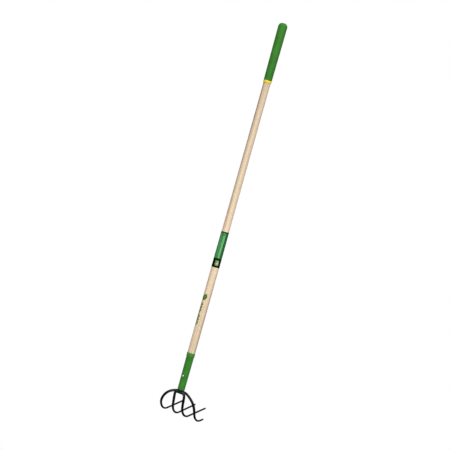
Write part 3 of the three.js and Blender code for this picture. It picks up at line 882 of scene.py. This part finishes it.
def hook(prong_length):
    """Bend and prong as (y, z) below the crown."""
    centre_y = BEND_START_Y + BEND_RADIUS * math.cos(BEND_LEAN)
    centre_z = -BEND_START_DROP + BEND_RADIUS * math.sin(BEND_LEAN)
    steps = 40
    points = []
    for step in range(steps + 1):
        heading = BEND_LEAN + (math.pi / 2 + PRONG_RISE - BEND_LEAN) * step / steps
        y = centre_y - BEND_RADIUS * math.cos(heading)
        points.append((y, centre_z - BEND_RADIUS * math.sin(heading)))
    end_y, end_z = points[-1]
    tip_y = end_y + prong_length * math.cos(PRONG_RISE)
    points.append((tip_y, end_z + prong_length * math.sin(PRONG_RISE)))
    return points


def arch_half_width(z):
    """Half the width of the outer bow's arch at a height."""
    up = max(0.0, (z - ARCH_CENTRE_Z) / OUTER_ARCH_HEIGHT)
    return OUTER_HALF_WIDTH * math.sqrt(max(0.0, 1 - up * up))


def arch_forward(x, z):
    """The arch leans back as it rises, then steps forward at the crown."""
    leaning = BEND_START_Y - math.tan(OUTER_ARCH_LEAN) * (z + BEND_START_DROP)
    return leaning + OUTER_CROWN_STEP * math.exp(-((x / OUTER_STEP_WIDTH) ** 4))


def outer_half(side, prong_length):
    """One side of the outer bow, from the middle of its arch to the point."""
    arch_end = math.acos((-BEND_START_DROP - ARCH_CENTRE_Z) / OUTER_ARCH_HEIGHT)
    steps = 36
    points = []
    for step in range(steps):
        angle = arch_end * step / steps
        x = OUTER_HALF_WIDTH * math.sin(angle)
        z = ARCH_CENTRE_Z + OUTER_ARCH_HEIGHT * math.cos(angle)
        points.append(Vector((side * x, arch_forward(x, z), z)))
    for y, z in hook(prong_length):
        x = OUTER_HALF_WIDTH if y > BEND_START_Y + BEND_RADIUS else arch_half_width(z)
        points.append(Vector((side * x, y, z)))
    return points


def inner_half(side, prong_length):
    """One side of the inner bow, from the middle of its crown to the point."""
    elbow_x = INNER_SHOULDER_X - INNER_ELBOW_RADIUS
    elbow_z = -INNER_CROWN_DROP - INNER_ELBOW_RADIUS
    points = [Vector((0, INNER_CROWN_Y, -INNER_CROWN_DROP))]
    steps = 12
    for step in range(steps + 1):
        angle = step / steps * math.pi / 2
        x = elbow_x + INNER_ELBOW_RADIUS * math.sin(angle)
        y = INNER_CROWN_Y + step / steps * INNER_ELBOW_FORWARD
        points.append(Vector((side * x, y, elbow_z + INNER_ELBOW_RADIUS * math.cos(angle))))
    path = hook(prong_length)
    tip_y = path[-1][0]
    for y, z in path:
        spread = (y - BEND_START_Y) / (tip_y - BEND_START_Y) * (INNER_TIP_X - INNER_SHOULDER_X)
        points.append(Vector((side * (INNER_SHOULDER_X + spread), y, z)))
    return points


def path_length(points):
    return sum((b - a).length for a, b in zip(points, points[1:]))


def drawn_radius(from_crown, rod):
    """The radius of a drawn-down rod at a distance from its crown."""
    root_radius, taper_start, taper_end = rod
    part = min(1, max(0, from_crown - taper_start) / (taper_end - taper_start))
    return root_radius + (PRONG_RADIUS - root_radius) * part * part * (3 - 2 * part)


def end_rounding(along, length, reach):
    """1 along a rod and down to 0 over the last reach of it."""
    inside = min(1, max(0, min(along, length - along)) / reach)
    return math.sqrt(1 - (1 - inside) ** 2)


def make_bow(name, node, left, right, rod, black):
    """One rod bent into two tines, thickest at the crown and drawn to a blunt point at each end."""
    points = eased(even(left[:0:-1] + right, 1.6 * MM), 14)
    length = path_length(points)
    crown = path_length(left)
    radii = []
    for i, point in enumerate(points):
        along = length * i / (len(points) - 1)
        forging = 1 + 0.012 * noise.noise(point * 140)
        radius = drawn_radius(abs(along - crown), rod)
        radii.append(radius * forging * end_rounding(along, length, POINT_LENGTH))
    placed = [point + Vector((0, 0, CROWN_Z)) for point in points]
    add_piece(name, swept(placed, radii), black, "black_paint", node)


def groove(x, up):
    """The centre of a weld bead in the groove between the two bows, above (1) or below (-1)."""
    seat = 0.8 * WELD_RADIUS  # the bead sinks a little into both rods
    outer_z = ARCH_CENTRE_Z + OUTER_ARCH_HEIGHT * math.sqrt(1 - (x / OUTER_HALF_WIDTH) ** 2)
    outer_reach = OUTER_ROD[0] + seat
    inner_reach = INNER_ROD[0] + seat
    gap = Vector((arch_forward(x, outer_z) - INNER_CROWN_Y, outer_z + INNER_CROWN_DROP))
    along = (inner_reach**2 - outer_reach**2 + gap.length_squared) / (2 * gap.length)
    across = math.sqrt(inner_reach**2 - along**2) * up
    way = gap.normalized()
    y = INNER_CROWN_Y + along * way.x - across * way.y
    z = -INNER_CROWN_DROP + along * way.y + across * way.x
    return Vector((x, y, CROWN_Z + z))


def make_weld(name, node, start, end, up, black):
    """A bead laid in overlapping ripples."""
    steps = 24
    points_per_ripple = 6
    line = [groove(start + (end - start) * step / steps, up) for step in range(steps + 1)]
    points = even(line, WELD_RIPPLE / points_per_ripple)
    length = path_length(points)
    radii = []
    for i, point in enumerate(points):
        along = length * i / (len(points) - 1)
        ripple = 1 + 0.09 * abs(math.sin(math.pi * along / WELD_RIPPLE))
        uneven = ripple + 0.06 * noise.noise(point * 600)
        radii.append(WELD_RADIUS * uneven * end_rounding(along, length, 1.4 * WELD_RADIUS))
    add_piece(name, swept(points, radii, 20), black, "black_paint", node)


def make_tang(black):
    foot = CROWN_Z - 3 * MM
    neck_top = CROWN_Z + 24 * MM
    shank_radius = 4.7 * MM
    profile = [
        (0, foot),
        (TANG_NECK_RADIUS - 1.5 * MM, foot),
        (TANG_NECK_RADIUS, CROWN_Z - 1 * MM),
        (TANG_NECK_RADIUS, neck_top),
        (shank_radius, neck_top + 3 * MM),
        (shank_radius, TANG_TOP_Z - 12 * MM),
        (2 * MM, TANG_TOP_Z),
        (0, TANG_TOP_Z),
    ]
    smooth = stepped(rounded(profile, 1 * MM), 6 * MM)
    add_piece("tang_shank", turned(smooth, 48), black, "black_paint", "tang")


def make_head(black):
    outer = (outer_half(-1, PRONG_LENGTH), outer_half(1, SHORT_PRONG_LENGTH))
    inner = (inner_half(-1, PRONG_LENGTH), inner_half(1, PRONG_LENGTH))
    make_bow("outer_tines", "outer_tine_bow", *outer, OUTER_ROD, black)
    make_bow("inner_tines", "inner_tine_bow", *inner, INNER_ROD, black)
    make_tang(black)
    neck = TANG_NECK_RADIUS - 0.5 * MM
    make_weld("weld_upper_left", "upper_weld_left", -WELD_HALF_LENGTH, -neck, 1, black)
    make_weld("weld_upper_right", "upper_weld_right", neck, WELD_HALF_LENGTH, 1, black)
    make_weld("weld_lower", "lower_weld", -WELD_HALF_LENGTH, WELD_HALF_LENGTH, -1, black)


# ---- Stage ----

def facing(azimuth, elevation):
    """The direction from the tool towards a light or camera."""
    flat = math.cos(elevation)
    return Vector((math.sin(azimuth) * flat, -math.cos(azimuth) * flat, math.sin(elevation)))


def make_camera():
    data = bpy.data.cameras.new("camera")
    data.lens = VIEW_LENS_MM
    data.sensor_width = 36
    data.clip_end = 100
    camera = bpy.data.objects.new("camera", data)
    bpy.context.scene.collection.objects.link(camera)
    back = facing(VIEW_AZIMUTH, 0)
    across = Vector((math.cos(VIEW_AZIMUTH), math.sin(VIEW_AZIMUTH), 0))
    target = across * VIEW_TARGET_SHIFT + Vector((0, 0, VIEW_TARGET_Z))
    camera.location = target + back * VIEW_DISTANCE
    upright = (-back).to_track_quat("-Z", "Y").to_matrix()
    camera.rotation_euler = (upright @ Matrix.Rotation(VIEW_ROLL, 3, "Z")).to_euler()
    bpy.context.scene.camera = camera


def make_softbox(name, azimuth, elevation, distance, size, watts):
    data = bpy.data.lights.new(name, "AREA")
    data.shape = "DISK"
    data.size = size
    data.energy = watts
    light = bpy.data.objects.new(name, data)
    bpy.context.scene.collection.objects.link(light)
    back = facing(math.radians(azimuth), math.radians(elevation))
    middle = Vector((0, 0, (HANDLE_LOW.z + HANDLE_HIGH.z) / 2))
    light.location = middle + back * distance
    light.rotation_euler = (-back).to_track_quat("-Z", "Y").to_euler()


def show_camera(tree, seen, other, surface):
    """Gives camera rays one shader and all other rays another."""
    ray = tree.nodes.new("ShaderNodeLightPath")
    mix = tree.nodes.new("ShaderNodeMixShader")
    tree.links.new(ray.outputs["Is Camera Ray"], mix.inputs[0])
    tree.links.new(other.outputs[0], mix.inputs[1])
    tree.links.new(seen.outputs[0], mix.inputs[2])
    tree.links.new(mix.outputs[0], surface)


def make_world():
    """White where the camera sees it, and a dimmer even light on the object."""
    world = bpy.data.worlds.new("studio")
    bpy.context.scene.world = world
    world.use_nodes = True
    tree = world.node_tree
    tree.nodes.clear()
    seen = tree.nodes.new("ShaderNodeBackground")
    seen.inputs["Color"].default_value = (1, 1, 1, 1)
    seen.inputs["Strength"].default_value = 1.0
    fill = tree.nodes.new("ShaderNodeBackground")
    fill.inputs["Color"].default_value = (1, 1, 1, 1)
    fill.inputs["Strength"].default_value = 0.2
    out = tree.nodes.new("ShaderNodeOutputWorld")
    show_camera(tree, seen, fill, out.inputs["Surface"])


def make_floor():
    """A white floor just under the tines. The camera sees it evenly lit, and it bounces light."""
    size = 40
    low = BOW_LOW.z - 1 * MM
    corners = [(-size, -size, low), (size, -size, low), (size, size, low), (-size, size, low)]
    mesh = bpy.data.meshes.new("floor")
    mesh.from_pydata(corners, [], [(0, 1, 2, 3)])
    material = bpy.data.materials.new("pale_floor")
    material.use_nodes = True
    tree = material.node_tree
    tree.nodes.clear()
    paper = tree.nodes.new("ShaderNodeBsdfDiffuse")
    paper.inputs["Color"].default_value = (0.45, 0.45, 0.45, 1)
    glow = tree.nodes.new("ShaderNodeEmission")
    glow.inputs["Strength"].default_value = 1.0
    out = tree.nodes.new("ShaderNodeOutputMaterial")
    show_camera(tree, glow, paper, out.inputs["Surface"])
    mesh.materials.append(material)
    floor = bpy.data.objects.new("floor", mesh)
    bpy.context.scene.collection.objects.link(floor)


def make_stage():
    bpy.context.scene.view_settings.view_transform = "Standard"
    make_camera()
    make_world()
    make_floor()
    make_softbox("key", azimuth=42, elevation=30, distance=5, size=2.2, watts=195)
    make_softbox("top", azimuth=-20, elevation=75, distance=4, size=2, watts=60)
    make_softbox("rear", azimuth=205, elevation=30, distance=5, size=2.6, watts=70)


def make_tool():
    prints_and_painted_highlights = {
        "black": film_material("black_ink", (5, 8, 4), (12, 17, 10), 0.3, 0.15),
        "dark_green": film_material("dark_green_ink", (10, 62, 28), (16, 76, 38)),
        # The next two are the colours of the painted light and highlight on the label.
        "painted_lit_colour": film_material("painted_lit_band_film", (70, 148, 84), (82, 160, 96)),
        "painted_highlight_colour": film_material("painted_highlight_film", (108, 184, 116), (132, 206, 140)),
        "patch": film_material("yellow_green_ink", (112, 152, 78), (132, 170, 96)),
        "spot": film_material("pale_ink", (176, 208, 140), (196, 222, 160)),
        "leaf": film_material("leaf_ink", (60, 108, 14), (74, 122, 26), 0.5, 0.12),
        "sprig": film_material("sprig_ink", (74, 120, 24), (92, 138, 42), 0.5, 0.12),
    }
    make_handle(wood_material())
    make_grip(grip_material())
    make_ring(ring_material())
    make_label(film_material("green_film", (34, 102, 44), (44, 116, 56)), prints_and_painted_highlights)
    make_mark(prints_and_painted_highlights)
    make_ferrule(enamel_material())
    make_rivet(steel_material())
    make_head(black_material())


make_stage()
make_tool()
